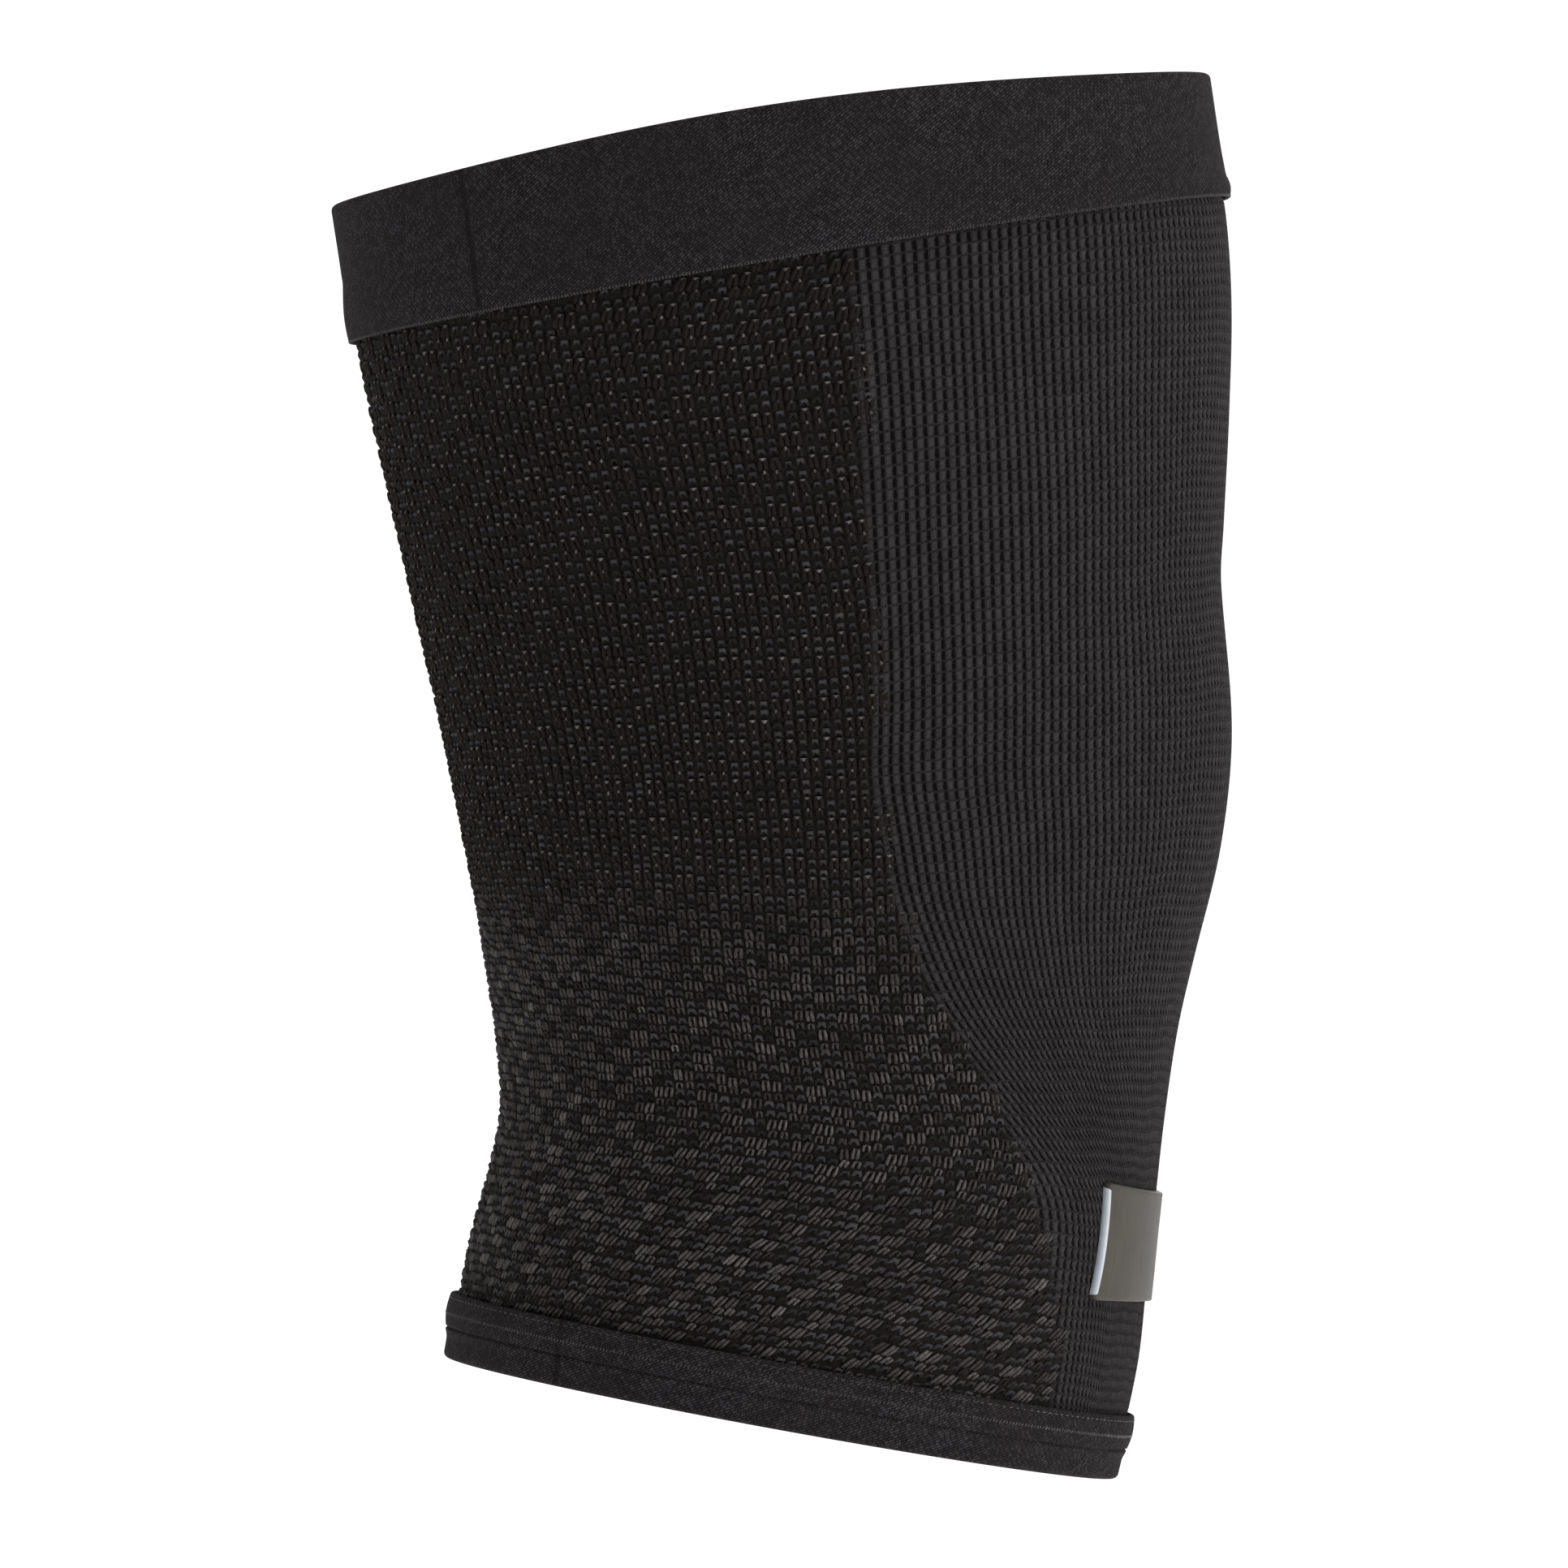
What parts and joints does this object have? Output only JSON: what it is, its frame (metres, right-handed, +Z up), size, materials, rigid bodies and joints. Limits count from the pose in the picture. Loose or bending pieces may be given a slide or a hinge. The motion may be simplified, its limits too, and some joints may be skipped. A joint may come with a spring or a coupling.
{
  "type": "knee sleeve",
  "caption": "Knitted knee sleeve in its worn, slightly bent form: an open fabric tube with an elastic band at each end and a rubber tag on the front of the shin.",
  "frame": {"origin": "middle of the hollow for the leg, at the height of the kneecap", "axes": "+Z up the leg towards the thigh, +X to the front of the knee, Y across the leg; the sleeve is the same on both sides of the XZ plane"},
  "size_m": [0.1508, 0.1402, 0.2354],
  "materials": {
    "knit": "matt black compression knit, coarse clusters behind and fine ribbed mesh in front",
    "elastic": "matt black woven elastic with a fine diagonal twill",
    "rubber_tag": "satin grey moulded rubber"
  },
  "bodies": {
    "root": {"knit_body": "knit", "top_band": "elastic", "bottom_band": "elastic", "front_tag": "rubber_tag"}
  },
  "joints": []
}
